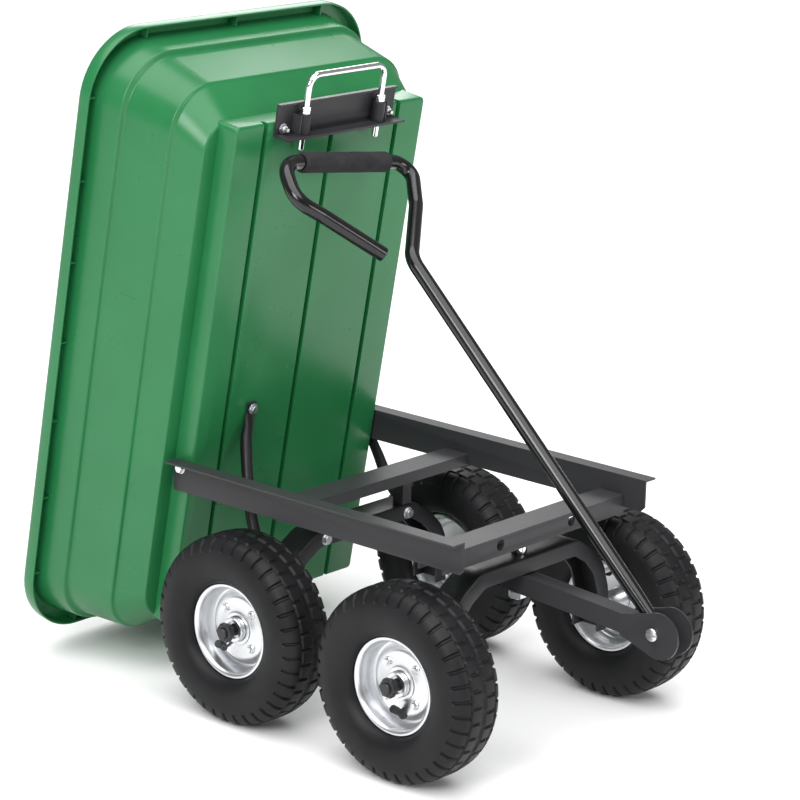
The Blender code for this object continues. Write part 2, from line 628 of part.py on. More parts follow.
# ---------------------------------------------------------------- wheels
# (distance from the wheel's middle plane, radius) loops
TYRE_LOOP = (
    (-0.0258, 0.0595), (-0.0258, 0.0652), (-0.0330, 0.0680), (-0.0412, 0.0800), (-0.0435, 0.0960),
    (-0.0405, 0.1120), (-0.0300, 0.1262), (-0.0120, 0.1300), (0.0120, 0.1300), (0.0300, 0.1262),
    (0.0405, 0.1120), (0.0435, 0.0960), (0.0412, 0.0800), (0.0330, 0.0680), (0.0258, 0.0652),
    (0.0258, 0.0595),
)
RIM_LOOP = (
    (-0.0285, 0.0645), (-0.0262, 0.0645), (-0.0262, 0.0590), (0.0262, 0.0590), (0.0262, 0.0645),
    (0.0285, 0.0645), (0.0240, 0.0585), (0.0090, 0.0480), (0.0060, 0.0400), (0.0060, 0.0180),
    (0.0040, 0.0180), (0.0040, 0.0405), (0.0150, 0.0565), (-0.0250, 0.0565),
)
HUB_LOOP = (
    (-0.0300, 0.0172), (0.0225, 0.0172), (0.0225, 0.0150), (0.0290, 0.0150), (0.0290, 0.0085),
    (-0.0300, 0.0085),
)


def make_wheel(name, side, group, carrier, axle_y, stem_angle):
    """Tyre, rim, hub and valve stem turn together; the spindle and its nut stay with the axle."""
    zero = group.origin
    out = [(side * w, r) for w, r in TYRE_LOOP]
    turned("tyre_" + name, group, zero, "X", out, 28, "tyre_rubber", ring=True, smooth=60)
    out = [(side * w, r) for w, r in RIM_LOOP]
    turned("rim_" + name, group, zero, "X", out, 20, "zinc", ring=True)
    out = [(side * w, r) for w, r in HUB_LOOP]
    turned("hub_" + name, group, zero, "X", out, 16, "black_cap", ring=True)
    stem = [(0.0064, 0.0048), (0.0120, 0.0040), (0.0290, 0.0036), (0.0320, 0.0030)]
    stem = [(side * w, r) for w, r in stem]
    reach = 0.0330
    angle = math.radians(stem_angle)
    at = zero + Vector((0, math.cos(angle) * reach, math.sin(angle) * reach))
    turned("valve_stem_" + name, group, at, "X", stem, 10, "black_cap")

    at = Vector((0, axle_y, AXLE_Z))
    tip = TRACK_X + 0.0425
    pin = [(side * 0.1729, 0.0080), (side * tip, 0.0080)]
    turned("spindle_" + name, carrier, at, "X", pin, 16, "black_steel")
    bm = bmesh.new()
    ends = (side * (TRACK_X + 0.0298), side * (TRACK_X + 0.0390))
    rings = [hexagon("X", ends[0], 0.0136, 24), hexagon("X", ends[1], 0.0136, 24),
             circle("X", ends[1], 0.0085, 24), circle("X", ends[0], 0.0085, 24)]
    add_loft(bm, rings, closed_loop=True)
    place_mesh("axle_nut_" + name, finish_mesh(bm, "axle_nut"), carrier, at, "black_cap")


# ---------------------------------------------------------------- assembly
def build():
    clear_scene()
    shift = Matrix.Translation((0, CART_SHIFT_Y, 0))
    cart = Group("cart", (0, 0, 0), matrix=shift)
    dumped = Matrix.Rotation(math.radians(-TUB_DUMPED_DEG), 4, "X")
    tub_hinge = Group("tub_hinge", PIVOT, cart, dumped)
    latch_slide = Group("latch_slide", PIVOT, tub_hinge)
    steering = Group("steering", (0, 0, 0), cart)
    lean = Matrix.Rotation(math.radians(HANDLE_LEAN_DEG), 4, "X")
    tilt = Matrix.Rotation(math.radians(HANDLE_TILT_DEG), 4, "Z")
    twist = Matrix.Rotation(math.radians(HANDLE_TWIST_DEG), 4, "Y")
    handle = Group("handle_pivot", CLEVIS_BOLT, steering, lean @ tilt @ twist)
    handle.origin = Vector((0, 0, 0))

    make_tub(tub_hinge)
    make_latch_bracket(tub_hinge)
    make_latch_bail(latch_slide)
    make_stop_strut(tub_hinge)
    make_rail("rail_left", -1, cart)
    make_rail("rail_right", 1, cart)
    make_crossmembers(cart)
    make_rear_axle(cart)
    make_kingpin(cart)
    make_front_axle(steering)
    make_clevis(steering)
    make_handle(handle, steering)

    wheels = (
        ("front_left", -1, steering, 0.0, -95), ("front_right", 1, steering, 0.0, 60),
        ("rear_left", -1, cart, REAR_AXLE_Y, -50), ("rear_right", 1, cart, REAR_AXLE_Y, 120),
    )
    for name, side, carrier, axle_y, stem_angle in wheels:
        centre = (side * TRACK_X, axle_y, AXLE_Z)
        group = Group("wheel_" + name, centre, carrier)
        make_wheel(name, side, group, carrier, axle_y, stem_angle)
    bpy.context.view_layer.update()


build()
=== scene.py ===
"""Garden dump cart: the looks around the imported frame. Metres, in the CAD model's own frame."""

import json
import math

import bmesh
import bpy
from mathutils import Matrix, Vector


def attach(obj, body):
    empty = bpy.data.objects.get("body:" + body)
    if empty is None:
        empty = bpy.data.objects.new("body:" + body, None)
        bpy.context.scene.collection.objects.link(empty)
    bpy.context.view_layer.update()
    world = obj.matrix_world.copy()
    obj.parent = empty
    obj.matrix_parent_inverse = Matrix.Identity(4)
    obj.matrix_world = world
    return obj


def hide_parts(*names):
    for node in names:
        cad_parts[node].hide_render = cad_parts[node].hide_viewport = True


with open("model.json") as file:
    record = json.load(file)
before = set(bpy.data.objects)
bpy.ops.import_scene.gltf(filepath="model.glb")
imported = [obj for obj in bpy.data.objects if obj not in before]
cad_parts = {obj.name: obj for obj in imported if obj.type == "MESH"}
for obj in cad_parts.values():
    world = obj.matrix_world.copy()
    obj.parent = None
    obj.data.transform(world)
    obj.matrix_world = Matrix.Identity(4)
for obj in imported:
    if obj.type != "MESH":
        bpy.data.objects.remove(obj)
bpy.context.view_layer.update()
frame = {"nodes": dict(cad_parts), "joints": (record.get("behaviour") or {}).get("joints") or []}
nodes = frame["nodes"]
joints = {j["name"]: j for j in frame["joints"]}

# ---------------------------------------------------------------- places taken from the frame
CLEVIS = Vector(joints["handle_pivot"]["pos_m"])
SHIFT_Y = Vector(joints["steering"]["pos_m"]).y
TUB_DUMPED_DEG = 80.6
HANDLE_LEAN_DEG = 45.20
HANDLE_TILT_DEG = 2.54
HANDLE_TWIST_DEG = 5.20
PIVOT_CLOSED = Vector((0.0, 0.4366, 0.312))


def turned(degrees, axis):
    return Matrix.Rotation(math.radians(degrees), 4, axis)


CART = Matrix.Translation((0, SHIFT_Y, 0))
TUB = (CART @ Matrix.Translation(PIVOT_CLOSED) @ turned(-TUB_DUMPED_DEG, "X")
       @ Matrix.Translation(-PIVOT_CLOSED))
HANDLE = (Matrix.Translation(CLEVIS) @ turned(HANDLE_LEAN_DEG, "X") @ turned(HANDLE_TILT_DEG, "Z")
          @ turned(HANDLE_TWIST_DEG, "Y"))


# ---------------------------------------------------------------- materials
def new_material(name):
    mat = bpy.data.materials.new(name)
    mat.use_nodes = True
    tree = mat.node_tree
    return mat, tree, tree.nodes["Principled BSDF"]


def noise(tree, scale, detail=4.0, rough=0.55, stretch=(1, 1, 1)):
    coord = tree.nodes.new("ShaderNodeTexCoord")
    place = tree.nodes.new("ShaderNodeMapping")
    place.inputs["Scale"].default_value = stretch
    tex = tree.nodes.new("ShaderNodeTexNoise")
    tex.inputs["Scale"].default_value = scale
    tex.inputs["Detail"].default_value = detail
    tex.inputs["Roughness"].default_value = rough
    tree.links.new(coord.outputs["Object"], place.inputs["Vector"])
    tree.links.new(place.outputs["Vector"], tex.inputs["Vector"])
    return tex.outputs["Fac"]


def ramp(tree, source, low, high, dark, light):
    node = tree.nodes.new("ShaderNodeValToRGB")
    node.color_ramp.elements[0].position = low
    node.color_ramp.elements[1].position = high
    node.color_ramp.elements[0].color = (*dark, 1)
    node.color_ramp.elements[1].color = (*light, 1)
    tree.links.new(source, node.inputs["Fac"])
    return node.outputs["Color"]


def spread(tree, source, low, high):
    node = tree.nodes.new("ShaderNodeMapRange")
    node.inputs["To Min"].default_value = low
    node.inputs["To Max"].default_value = high
    tree.links.new(source, node.inputs["Value"])
    return node.outputs["Result"]


def bump(tree, shader, source, height, strength):
    node = tree.nodes.new("ShaderNodeBump")
    node.inputs["Distance"].default_value = height
    node.inputs["Strength"].default_value = strength
    tree.links.new(source, node.inputs["Height"])
    tree.links.new(node.outputs["Normal"], shader.inputs["Normal"])


def surface(name, dark, light, rough, metallic=0.0, blotch=9.0, grain=900.0, grain_height=0.0002,
            grain_strength=0.15, coat=0.0, specular=0.5, edge_wear=None, stretch=(1, 1, 1)):
    """Blotchy colour and roughness, with a fine grain in the bump; edges may be rubbed lighter."""
    mat, tree, shader = new_material(name)
    shader.inputs["Metallic"].default_value = metallic
    shader.inputs["Coat Weight"].default_value = coat
    shader.inputs["Coat Roughness"].default_value = 0.12
    shader.inputs["Specular IOR Level"].default_value = specular
    patches = noise(tree, blotch, 5.0, 0.6)
    colour = ramp(tree, patches, 0.35, 0.68, dark, light)
    if edge_wear is not None:
        geometry = tree.nodes.new("ShaderNodeNewGeometry")
        rubbed = ramp(tree, geometry.outputs["Pointiness"], 0.53, 0.60, (0, 0, 0), (1, 1, 1))
        blend = tree.nodes.new("ShaderNodeMix")
        blend.data_type = "RGBA"
        blend.inputs["B"].default_value = (*edge_wear, 1)
        tree.links.new(rubbed, blend.inputs["Factor"])
        tree.links.new(colour, blend.inputs["A"])
        colour = blend.outputs["Result"]
    tree.links.new(colour, shader.inputs["Base Color"])
    fine = noise(tree, grain, 2.0, 0.5, stretch)
    sheen = spread(tree, noise(tree, blotch * 3, 4.0, 0.6), rough[0], rough[1])
    tree.links.new(sheen, shader.inputs["Roughness"])
    bump(tree, shader, fine, grain_height, grain_strength)
    return mat


GREEN = surface("tub_green_plastic", (0.0125, 0.140, 0.042), (0.0165, 0.160, 0.052), (0.24, 0.34), blotch=5.0,
                grain=1400.0, grain_height=0.00012, grain_strength=0.12, specular=0.42)
FRAME_BLACK = surface("powder_coat_black", (0.0060, 0.0060, 0.0068), (0.0100, 0.0100, 0.0112), (0.30, 0.42),
                      blotch=14.0,
                      grain=1800.0, grain_height=0.00012, grain_strength=0.22, specular=0.24,
                      edge_wear=(0.035, 0.035, 0.038))
GLOSS_BLACK = surface("gloss_black_paint", (0.0035, 0.0035, 0.004), (0.006, 0.006, 0.007), (0.14, 0.22),
                      blotch=11.0,
                      grain=500.0, grain_height=0.0001, grain_strength=0.05, coat=0.4, specular=0.3)
FOAM = surface("foam_rubber", (0.014, 0.014, 0.016), (0.024, 0.024, 0.026), (0.82, 0.95), blotch=60.0,
               grain=1500.0, grain_height=0.0005, grain_strength=0.6, specular=0.3)
RUBBER = surface("tyre_rubber", (0.0060, 0.0060, 0.0068), (0.0105, 0.0105, 0.0118), (0.38, 0.54), blotch=16.0,
                 grain=1300.0, grain_height=0.0002, grain_strength=0.25, specular=0.20)
ZINC = surface("bright_zinc", (0.66, 0.67, 0.69), (0.74, 0.75, 0.76), (0.26, 0.34), metallic=1.0, blotch=20.0,
               grain=320.0, grain_height=0.0001, grain_strength=0.08)
CHROME = surface("chrome", (0.78, 0.78, 0.80), (0.86, 0.86, 0.87), (0.06, 0.14), metallic=1.0, blotch=30.0,
                 grain=260.0, grain_height=0.0001, grain_strength=0.04)
BLACK_CAP = surface("black_hub_paint", (0.010, 0.010, 0.011), (0.016, 0.016, 0.017), (0.34, 0.50),
                    blotch=40.0,
                    grain=900.0, grain_height=0.0002, grain_strength=0.2)
VALVE = surface("valve_rubber", (0.008, 0.008, 0.008), (0.013, 0.013, 0.013), (0.45, 0.60), blotch=80.0,
                grain=1200.0, grain_height=0.0002, grain_strength=0.2)
FLOOR = surface("studio_floor", (0.86, 0.86, 0.86), (0.88, 0.88, 0.88), (0.70, 0.80), blotch=2.0, grain=60.0,
                grain_height=0.0001, grain_strength=0.02, specular=0.2)


# ---------------------------------------------------------------- mesh helpers
SIDES = (("left", -1), ("right", 1))


def link(name, data):
    """New object of some data, in the scene."""
    obj = bpy.data.objects.new(name, data)
    bpy.context.scene.collection.objects.link(obj)
    return obj


def shade(mesh, smooth):
    """Smooth shading, but for edges sharper than `smooth` degrees."""
    mesh.shade_smooth()
    mesh.set_sharp_from_angle(angle=math.radians(smooth))


def mesh_from(bm, name, smooth):
    bmesh.ops.recalc_face_normals(bm, faces=bm.faces)
    mesh = bpy.data.meshes.new(name)
    bm.to_mesh(mesh)
    bm.free()
    shade(mesh, smooth)
    return mesh


def object_from(bm, name, material, body, place, smooth=35, stand_for=()):
    """Object of a bmesh in the coordinates of `place`, riding on a body."""
    return object_of_mesh(mesh_from(bm, name, smooth), name, material, body, place, stand_for)


def object_of_mesh(mesh, name, material, body, place, stand_for=()):
    """The mesh is moved to its place, so that the object itself sits at the origin like a CAD node."""
    mesh.transform(place)
    obj = link(name, mesh)
    if not mesh.materials:
        mesh.materials.append(material)
    if body is not None:
        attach(obj, body)
    if stand_for:
        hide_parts(*stand_for)
    return obj


def add_loft(bm, rings, closed_loop=False, caps=True):
    rows = [[bm.verts.new(p) for p in ring] for ring in rings]
    count = len(rows[0])
    pairs = list(zip(rows, rows[1:]))
    if closed_loop:
        pairs.append((rows[-1], rows[0]))
    for low, high in pairs:
        for i in range(count):
            j = (i + 1) % count
            bm.faces.new((low[i], low[j], high[j], high[i]))
    if caps and not closed_loop:
        bm.faces.new(tuple(reversed(rows[0])))
        bm.faces.new(tuple(rows[-1]))


def add_box(bm, low, high):
    corners = [(low[0], low[1]), (high[0], low[1]), (high[0], high[1]), (low[0], high[1])]
    add_loft(bm, [[(x, y, z) for x, y in corners] for z in (low[2], high[2])])


AXES = {"X": (Vector((1, 0, 0)), Vector((0, 1, 0)), Vector((0, 0, 1))),
        "Y": (Vector((0, 1, 0)), Vector((0, 0, 1)), Vector((1, 0, 0))),
        "Z": (Vector((0, 0, 1)), Vector((1, 0, 0)), Vector((0, 1, 0)))}


def circle(axis, along, radius, segments, centre=(0, 0, 0), sides=None):
    """Ring about an axis; with `sides`, its points lie on a regular polygon of that corner radius."""
    main, side, up = AXES[axis]
    points = []
    for i in range(segments):
        angle = 2 * math.pi * i / segments
        reach = radius
        if sides:
            sector = 2 * math.pi / sides
            offset = angle % sector - sector / 2
            reach = radius * math.cos(sector / 2) / math.cos(offset)
        spoke = side * math.cos(angle) + up * math.sin(angle)
        points.append(Vector(centre) + main * along + spoke * reach)
    return points


def add_turned(bm, axis, profile, segments, ring=False, centre=(0, 0, 0), sides=None):
    add_loft(bm, [circle(axis, a, r, segments, centre, sides) for a, r in profile], closed_loop=ring)


def add_bolt_head(bm, axis, base, out, centre, radius, height, washer):
    """Washer and chamfered hexagon head that stand out from `base` towards `out` (+1 or -1)."""
    thick = 0.0012
    add_turned(bm, axis,
               [(base, washer), (base + out * thick * 0.8, washer), (base + out * thick, washer * 0.96)],
               32, centre=centre)
    low = base + out * (thick + 0.0001)
    add_turned(bm, axis, [(low, radius), (base + out * (thick + height * 0.85), radius)], 48, centre=centre,
               sides=6)
    top = base + out * (thick + height * 0.86)
    add_turned(bm, axis, [(top, radius * 0.90), (base + out * (thick + height), radius * 0.84)], 48,
               centre=centre)


def sweep_rings(points, radii, segments, first_side):
    points = [Vector(p) for p in points]
    side = Vector(first_side)
    rings = []
    for i, point in enumerate(points):
        main = (points[min(i + 1, len(points) - 1)] - points[max(i - 1, 0)]).normalized()
        side = (side - main * side.dot(main)).normalized()
        other = main.cross(side)
        side_r, other_r = radii[i]
        ring = []
        for k in range(segments):
            angle = 2 * math.pi * k / segments
            ring.append(point + side * (side_r * math.cos(angle)) + other * (other_r * math.sin(angle)))
        rings.append(ring)
    return rings


def rounded_path(points, bend_radius, steps):
    points = [Vector(p) for p in points]
    path = [points[0]]
    for before, corner, after in zip(points, points[1:], points[2:]):
        arm_in = (before - corner).normalized()
        arm_out = (after - corner).normalized()
        half = arm_in.angle(arm_out) / 2
        reach = min(bend_radius / math.tan(half), (before - corner).length * 0.48,
                    (after - corner).length * 0.48)
        radius = reach * math.tan(half)
        centre = corner + (arm_in + arm_out).normalized() * (radius / math.sin(half))
        start = (corner + arm_in * reach - centre).normalized()
        stop = (corner + arm_out * reach - centre).normalized()
        for k in range(steps + 1):
            path.append(centre + start.slerp(stop, k / steps) * radius)
    path.append(points[-1])
    return path


def smooth_stations(stations, steps):
    """Catmull-Rom curve through (place, wide, thick) stations."""
    rows = [Vector((*place, wide)).to_tuple() + (thick,) for place, wide, thick in stations]
    padded = [rows[0]] + rows + [rows[-1]]
    dense = []
    for a, b, c, d in zip(padded, padded[1:], padded[2:], padded[3:]):
        for k in range(steps):
            t = k / steps
            dense.append([0.5 * (2 * q + (r - p) * t + (2 * p - 5 * q + 4 * r - s) * t * t
                                 + (3 * q - p - 3 * r + s) * t * t * t) for p, q, r, s in zip(a, b, c, d)])
    dense.append(list(rows[-1]))
    return [Vector(row[:3]) for row in dense], [(row[3], row[4]) for row in dense]


def cut(obj, tool_bm, place, name, operation="DIFFERENCE"):
    """Boolean with a tool object that is removed again, applied at once so that nothing but the piece is
    left.
    """
    bmesh.ops.recalc_face_normals(tool_bm, faces=tool_bm.faces)
    mesh = bpy.data.meshes.new(name)
    tool_bm.to_mesh(mesh)
    tool_bm.free()
    tool = link(name, mesh)
    tool.matrix_world = place
    mod = obj.modifiers.new(name, "BOOLEAN")
    mod.operation = operation
    mod.solver = "EXACT"
    mod.object = tool
    bpy.context.view_layer.update()
    graph = bpy.context.evaluated_depsgraph_get()
    result = bpy.data.meshes.new_from_object(obj.evaluated_get(graph))
    obj.modifiers.clear()
    obj.data = result
    bpy.data.objects.remove(tool)


# ---------------------------------------------------------------- tub
WALL = 0.003
TUB_MID_Y = 0.3125
RIM_TOP = 0.513
LIP_DROP = 0.022
RIM_HALF_X = 0.2680
RIM_FRONT_Y = -0.1300
RIM_CORNER_R = 0.095
BRACKET_BOLT_X = 0.103
BRACKET_BOLT_Y = -0.041
STRUT_BOLT = (-0.0855, 0.363)
CORNER_STEPS = 14
# height, half width, front edge, plan corner radius of the outer skin, floor to rim
TUB_SKIN = (
    (0.3290, 0.1960, -0.0400, 0.036), (0.3300, 0.2090, -0.0490, 0.046), (0.3740, 0.2222, -0.0836, 0.062),
    (0.3762, 0.2284, -0.0862, 0.066), (0.4530, 0.2362, -0.0998, 0.076), (0.4554, 0.2430, -0.1068, 0.082),
    (0.5100, 0.2530, -0.1130, 0.086),
)


def plan_ring(half_x, front_y, corner_r, z):
    half_y = TUB_MID_Y - front_y
    points = []
    for sign_x, sign_y, start in ((1, 1, 0), (-1, 1, 90), (-1, -1, 180), (1, -1, 270)):
        for k in range(CORNER_STEPS + 1):
            angle = math.radians(start + 90 * k / CORNER_STEPS)
            x = sign_x * (half_x - corner_r) + corner_r * math.cos(angle)
            y = TUB_MID_Y + sign_y * (half_y - corner_r) + corner_r * math.sin(angle)
            points.append(Vector((x, y, z)))
    return points


def eased(rows, reach, steps=5):
    """Round each inner corner of the skin's side profile over `reach` metres."""
    def gap(a, b):
        return math.hypot(a[0] - b[0], a[1] - b[1])
    out = [rows[0]]
    for before, here, after in zip(rows, rows[1:], rows[2:]):
        back = min(reach / gap(before, here), 0.47)
        ahead = min(reach / gap(after, here), 0.47)
        start = [h + (b - h) * back for h, b in zip(here, before)]
        stop = [h + (a - h) * ahead for h, a in zip(here, after)]
        for k in range(steps + 1):
            t = k / steps
            out.append([(1 - t) ** 2 * s + 2 * t * (1 - t) * h + t * t * e
                        for s, h, e in zip(start, here, stop)])
    out.append(rows[-1])
    return out


def skin_at(z):
    """Half width and front edge of the outer skin at a height."""
    for low, high in zip(TUB_SKIN, TUB_SKIN[1:]):
        if low[0] <= z <= high[0]:
            t = (z - low[0]) / (high[0] - low[0])
            return low[1] + (high[1] - low[1]) * t, low[2] + (high[2] - low[2]) * t
    return TUB_SKIN[-1][1], TUB_SKIN[-1][2]


def make_tub():
    under = RIM_TOP - WALL
    outer = eased([list(row) for row in TUB_SKIN], 0.0022)
    rings = [plan_ring(hx, fy, cr, z) for z, hx, fy, cr in outer]

    def rim_at(inset, z):
        return plan_ring(RIM_HALF_X - inset, RIM_FRONT_Y + inset, RIM_CORNER_R - inset, z)

    rings += [rim_at(0.0105, under), rim_at(0.0050, under - 0.0004), rim_at(0.0034, under - 0.0020),
              rim_at(0.0026, RIM_TOP - LIP_DROP + 0.0006), rim_at(0.0018, RIM_TOP - LIP_DROP),
              rim_at(0.0004, RIM_TOP - LIP_DROP), rim_at(0.0, RIM_TOP - LIP_DROP + 0.0008),
              rim_at(0.0002, RIM_TOP - 0.0060), rim_at(0.0010, RIM_TOP - 0.0028),
              rim_at(0.0028, RIM_TOP - 0.0009),
              rim_at(0.0055, RIM_TOP)]
    bm = bmesh.new()
    add_loft(bm, rings)
    tub = object_from(bm, "tub_moulded", GREEN, None, TUB, smooth=30)

    half_x = 0.1865
    front_y = -0.0495
    bottom = 0.2975
    top = 0.345
    steps = ((bottom, 0.0035), (bottom + 0.0005, 0.0018), (bottom + 0.0018, 0.0005), (bottom + 0.0035, 0.0),
             (top, 0.0))
    bm = bmesh.new()
    add_loft(bm, [plan_ring(half_x - d, front_y + d, 0.007 - d, z) for z, d in steps])
    cut(tub, bm, TUB, "platform", "UNION")

    inner = [[z + WALL, hx - WALL, fy + WALL, cr - WALL] for z, hx, fy, cr in TUB_SKIN]
    inner[-1][0] = RIM_TOP - 0.004
    mouth = list(inner[-1])
    rings = [plan_ring(hx, fy, cr, z) for z, hx, fy, cr in eased(inner, 0.0035)]
    rings += [plan_ring(mouth[1] + d, mouth[2] - d, mouth[3], RIM_TOP + h)
              for d, h in ((0.0008, -0.0015), (0.0024, 0.0), (0.0030, 0.004))]
    bm = bmesh.new()
    add_loft(bm, rings)
    cut(tub, bm, TUB, "cavity")

    pan = bmesh.new()
    add_loft(pan, [plan_ring(half_x - WALL, front_y + WALL, 0.0045, z) for z in (bottom + WALL, top - 0.001)])
    pan_obj = object_from(pan, "pan", GREEN, None, TUB)
    rear_y = 2 * TUB_MID_Y - front_y
    ridges = bmesh.new()
    grooves = bmesh.new()
    for x in (-0.131, 0.0, 0.131):
        for bm, extra, low, high in ((grooves, 0.0, bottom - 0.002, bottom + 0.010),
                                     (ridges, WALL, bottom - 0.003, bottom + 0.013)):
            ring = []
            for z, half in ((low, 0.0046 + extra), (high, 0.0032 + extra)):
                ring.append([(x - half, front_y - 0.02, z), (x + half, front_y - 0.02, z),
                             (x + half, rear_y + 0.02, z), (x - half, rear_y + 0.02, z)])
            add_loft(bm, ring)
    cut(pan_obj, ridges, TUB, "ridges")
    tool = bmesh.new()
    tool.from_mesh(pan_obj.data)
    bpy.data.objects.remove(pan_obj)
    cut(tub, tool, Matrix.Identity(4), "pan_cut")
    cut(tub, grooves, TUB, "groove_cut")
    sides = bmesh.new()
    for side in (-1, 1):
        add_turned(sides, "X", [(side * 0.178, 0.0056), (side * 0.192, 0.0056)], 24, centre=PIVOT_CLOSED)
    for x, y in ((-BRACKET_BOLT_X, BRACKET_BOLT_Y), (BRACKET_BOLT_X, BRACKET_BOLT_Y), STRUT_BOLT):
        add_turned(sides, "Z", [(0.292, 0.0036), (0.306, 0.0036)], 20, centre=(x, y, 0))
    cut(tub, sides, TUB, "bolt_holes")
    shade(tub.data, 32)
    if not tub.data.materials:
        tub.data.materials.append(GREEN)
    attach(tub, "tub")
    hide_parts("tub")

    # small stiffening ribs between the wall and the turned-down lip
    bm = bmesh.new()
    low, high = RIM_TOP - LIP_DROP + 0.004, under + 0.0006
    for k in range(7):
        y = -0.039 + k * 0.116
        for side in (-1, 1):
            wall = skin_at(high)[0] - 0.001
            xs = sorted((side * wall, side * 0.2658))
            add_box(bm, (xs[0], y - 0.001, low), (xs[1], y + 0.001, high))
    for x in (-0.17, 0.0, 0.17):
        for front in (True, False):
            wall = skin_at(high)[1] + 0.001
            ys = (-0.1278, wall) if front else (2 * TUB_MID_Y - wall, 2 * TUB_MID_Y + 0.1278)
            add_box(bm, (x - 0.001, ys[0], low), (x + 0.001, ys[1], high))
    object_from(bm, "tub_lip_ribs", GREEN, "tub", TUB)

    # injection mark on the underside, and a shallow moulded line on each side wall
    bm = bmesh.new()
    add_turned(bm, "Z", [(bottom - 0.0004, 0.0065), (bottom - 0.0004, 0.0060), (bottom + 0.0003, 0.0058),
                         (bottom + 0.0003, 0.0068)], 40, ring=True, centre=(-0.015, 0.317, 0))
    line = ((-0.0006, 0.2142), (0.0004, 0.2146), (0.0004, 0.2152), (-0.0006, 0.2156))
    for side in (-1, 1):
        rings = []
        for z in (0.399, 0.424):
            hx = skin_at(z)[0]
            rings.append([(side * (hx + d), y, z) for d, y in line])
        add_loft(bm, rings)
    object_from(bm, "tub_mould_marks", GREEN, "tub", TUB)


# ---------------------------------------------------------------- latch on the tub
PIN_X = 0.0738
PIN_Z = 0.284
BAIL_R = 0.0043
BAIL_TIP_R = 0.0034


def make_latch():
    loop = [(-PIN_X, -0.011), (-PIN_X, -0.113), (PIN_X, -0.113), (PIN_X, -0.011)]
    path = rounded_path([(x, y, PIN_Z) for x, y in loop], 0.017, 12)
    bm = bmesh.new()
    path.insert(1, path[0] + (path[1] - path[0]).normalized() * 0.0012)
    path.insert(-1, path[-1] + (path[-2] - path[-1]).normalized() * 0.0012)
    tip = [(BAIL_TIP_R, BAIL_TIP_R)]
    radii = tip + [(BAIL_R, BAIL_R)] * (len(path) - 2) + tip
    add_loft(bm, sweep_rings(path, radii, 28, (0, 0, 1)))
    object_from(bm, "latch_bail_wire", CHROME, "latch", TUB, stand_for=("latch_bail",))
    for name, side in SIDES:
        centre = (side * PIN_X, 0, PIN_Z)
        bm = bmesh.new()
        collar = [(-0.0700, 0.0060), (-0.0694, 0.0067), (-0.0660, 0.0068), (-0.0657, 0.0062),
                  (-0.0648, 0.0062),
                  (-0.0645, 0.0068), (-0.0619, 0.0067), (-0.0613, 0.0060), (-0.0613, 0.0044),
                  (-0.0700, 0.0044)]
        add_turned(bm, "Y", collar, 32, ring=True, centre=centre)
        object_from(bm, "latch_collar_ring_" + name, CHROME, "latch", TUB,
                    stand_for=("latch_collar_" + name,))
        bm = bmesh.new()
        sleeve = [(-0.0610, 0.0080), (-0.0604, 0.0086), (-0.0340, 0.0092), (-0.0338, 0.0092),
                  (-0.0338, 0.0054),
                  (-0.0610, 0.0054)]
        add_turned(bm, "Y", sleeve, 36, ring=True, centre=centre)
        low_x, high_x = sorted((side * (PIN_X + 0.0100), side * (PIN_X + 0.0125)))
        add_box(bm, (low_x, -0.0600, 0.2790), (high_x, -0.0338, 0.2941))
        object_from(bm, "latch_sleeve_tube_" + name, FRAME_BLACK, "tub", TUB,
                    stand_for=("latch_sleeve_" + name,))
        bm = bmesh.new()
        spot = (side * BRACKET_BOLT_X, BRACKET_BOLT_Y, 0)
        add_bolt_head(bm, "Z", 0.29395, -1, spot, 0.0052, 0.0042, 0.0070)
        add_turned(bm, "Z", [(0.2835, 0.0024), (0.2840, 0.0029), (0.3050, 0.0029)], 20, centre=spot)
        object_from(bm, "bracket_bolt_detail_" + name, ZINC, "tub", TUB,
                    stand_for=("bracket_bolt_" + name,))


def make_strut():
    stations = (
        ((-0.0850, 0.3545, 0.2945), 0.0090, 0.0025), ((-0.0862, 0.3720, 0.2945), 0.0092, 0.0025),
        ((-0.0930, 0.3860, 0.2880), 0.0086, 0.0055), ((-0.1033, 0.4010, 0.2800), 0.0082, 0.0082),
        ((-0.1190, 0.4410, 0.2545), 0.0082, 0.0082), ((-0.1300, 0.4818, 0.2299), 0.0082, 0.0082),
        ((-0.1360, 0.5070, 0.2115), 0.0082, 0.0082), ((-0.1395, 0.5313, 0.1984), 0.0082, 0.0082),
        ((-0.1415, 0.5500, 0.1887), 0.0082, 0.0082),
    )
    points, radii = smooth_stations(stations, 6)
    bm = bmesh.new()
    add_loft(bm, sweep_rings(points, radii, 28, (1, 0, 0)))
    object_from(bm, "stop_strut_tube", FRAME_BLACK, "tub", TUB, smooth=50,
                stand_for=("stop_strut",))
    bm = bmesh.new()
    add_bolt_head(bm, "Z", 0.2917, -1, (*STRUT_BOLT, 0), 0.0062, 0.0040, 0.0080)
    object_from(bm, "stop_strut_bolt_detail", ZINC, "tub", TUB,
                stand_for=("stop_strut_bolt",))


# ---------------------------------------------------------------- axle arches
BEAM_HALF_W = 0.022
BEAM_WEB = 0.022
BEAM_THICK = 0.003


def beam_section():
    """Channel section with rounded outer edges, as (across, depth) pairs."""
    r = 0.003
    outer = []
    for sign in (1, -1):
        arc = []
        for k in range(5):
            angle = math.radians(90 * k / 4)
            arc.append((sign * (BEAM_HALF_W - r + r * math.sin(angle)), r - r * math.cos(angle)))
        outer.append(arc)
    right, left = outer
    t = BEAM_THICK
    return (right + [(BEAM_HALF_W, BEAM_WEB), (BEAM_HALF_W - t, BEAM_WEB), (BEAM_HALF_W - t, t),
                     (-BEAM_HALF_W + t, t), (-BEAM_HALF_W + t, BEAM_WEB), (-BEAM_HALF_W, BEAM_WEB)]
            + list(reversed(left)))


